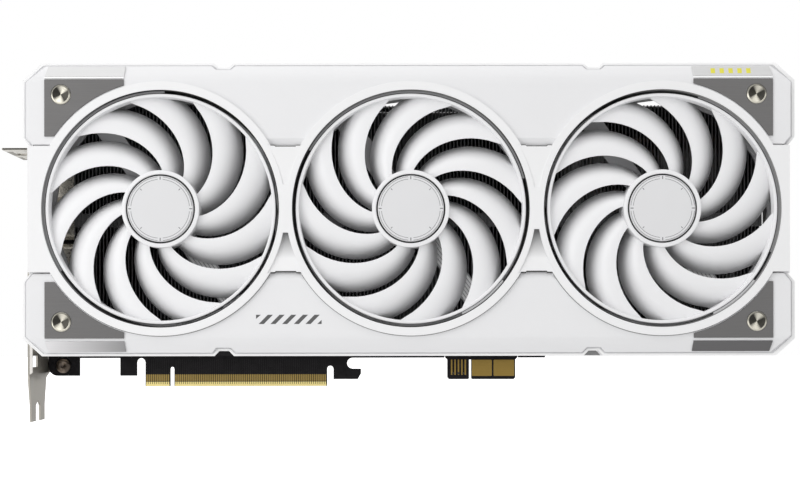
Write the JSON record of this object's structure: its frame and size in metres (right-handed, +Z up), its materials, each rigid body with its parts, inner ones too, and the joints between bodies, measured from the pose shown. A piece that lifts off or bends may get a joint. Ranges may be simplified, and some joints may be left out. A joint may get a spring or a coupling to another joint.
{
  "type": "graphics card",
  "caption": "White graphics card with spinning shrouded fans, a finned cooler, brushed corner trims, a keyed slot-edge board, a gold power tab and a folded metal mounting bracket.",
  "frame": {"origin": "middle of the long row of slot contacts, on the bottom edge of the board, at half its thickness", "axes": "+X along the card away from the bracket, +Y from the fans to the backplate, +Z up out of the slot"},
  "size_m": [0.3497, 0.0625, 0.1575],
  "materials": {
    "white_plastic": "satin moulded white",
    "white_blade": "smooth moulded white",
    "hub_cap_white": "smooth pale cap",
    "brushed_trim": "brushed dark grey sheet",
    "polished_screw": "polished dished head",
    "fan_frame_grey": "moulded grey",
    "stator_iron": "laminated iron",
    "bearing_bronze": "sintered sleeve",
    "shaft_steel": "ground steel",
    "magnet_black": "bonded magnet",
    "black_fin": "black coated fins",
    "copper": "bare copper",
    "board_black": "black solder mask",
    "chip_black": "moulded package",
    "black_plastic": "moulded black",
    "slider_white": "moulded white",
    "backplate_paint": "satin white paint",
    "bracket_nickel": "nickel plated sheet",
    "port_steel": "stamped plated shell"
  },
  "bodies": {
    "card": {"backplate": "backplate_paint", "bearing_left": "bearing_bronze", "bearing_middle": "bearing_bronze", "bearing_right": "bearing_bronze", "bracket": "bracket_nickel", "bracket_screw": "polished_screw", "cold_plate": "copper", "fan_bezel": "white_plastic", "fan_frame_left": "fan_frame_grey", "fan_frame_middle": "fan_frame_grey", "fan_frame_right": "fan_frame_grey", "fin_stack": "black_fin", "gpu_package": "chip_black", "heat_pipe_1": "copper", "heat_pipe_2": "copper", "heat_pipe_3": "copper", "heat_pipe_4": "copper", "heat_pipe_5": "copper", "memory_chip_1": "chip_black", "memory_chip_2": "chip_black", "memory_chip_3": "chip_black", "memory_chip_4": "chip_black", "memory_chip_5": "chip_black", "memory_chip_6": "chip_black", "memory_chip_7": "chip_black", "memory_chip_8": "chip_black", "mode_switch": "black_plastic", "pcb": "board_black", "power_socket": "black_plastic", "power_tab": "board_black", "shroud": "white_plastic", "stator_left": "stator_iron", "stator_middle": "stator_iron", "stator_right": "stator_iron", "trim_bottom_left": "brushed_trim", "trim_bottom_right": "brushed_trim", "trim_screw_bottom_left": "polished_screw", "trim_screw_bottom_right": "polished_screw", "trim_screw_top_left": "polished_screw", "trim_screw_top_right": "polished_screw", "trim_top_left": "brushed_trim", "trim_top_right": "brushed_trim", "video_port_1": "port_steel", "video_port_2": "port_steel", "video_port_3": "port_steel", "video_port_4": "port_steel", "video_port_5": "port_steel"},
    "fan_left": {"rotor_left": "white_blade", "hub_cap_left": "hub_cap_white", "shaft_left": "shaft_steel", "magnet_ring_left": "magnet_black"},
    "fan_middle": {"rotor_middle": "white_blade", "hub_cap_middle": "hub_cap_white", "shaft_middle": "shaft_steel", "magnet_ring_middle": "magnet_black"},
    "fan_right": {"rotor_right": "white_blade", "hub_cap_right": "hub_cap_white", "shaft_right": "shaft_steel", "magnet_ring_right": "magnet_black"},
    "switch_slider": {"switch_slider": "slider_white"}
  },
  "joints": [
    {"name": "fan_spin_left", "type": "hinge", "parent": "card", "child": "fan_left", "pos_m": [-0.0333, -0.048, 0.0784], "axis": [0, -1, 0], "continuous": true},
    {"name": "fan_spin_middle", "type": "hinge", "parent": "card", "child": "fan_middle", "pos_m": [0.0751, -0.048, 0.0784], "axis": [0, -1, 0], "continuous": true},
    {"name": "fan_spin_right", "type": "hinge", "parent": "card", "child": "fan_right", "pos_m": [0.184, -0.048, 0.0784], "axis": [0, -1, 0], "continuous": true},
    {"name": "mode_switch_slide", "type": "slide", "parent": "card", "child": "switch_slider", "axis": [1, 0, 0], "range_m": [0, 0.002]}
  ]
}
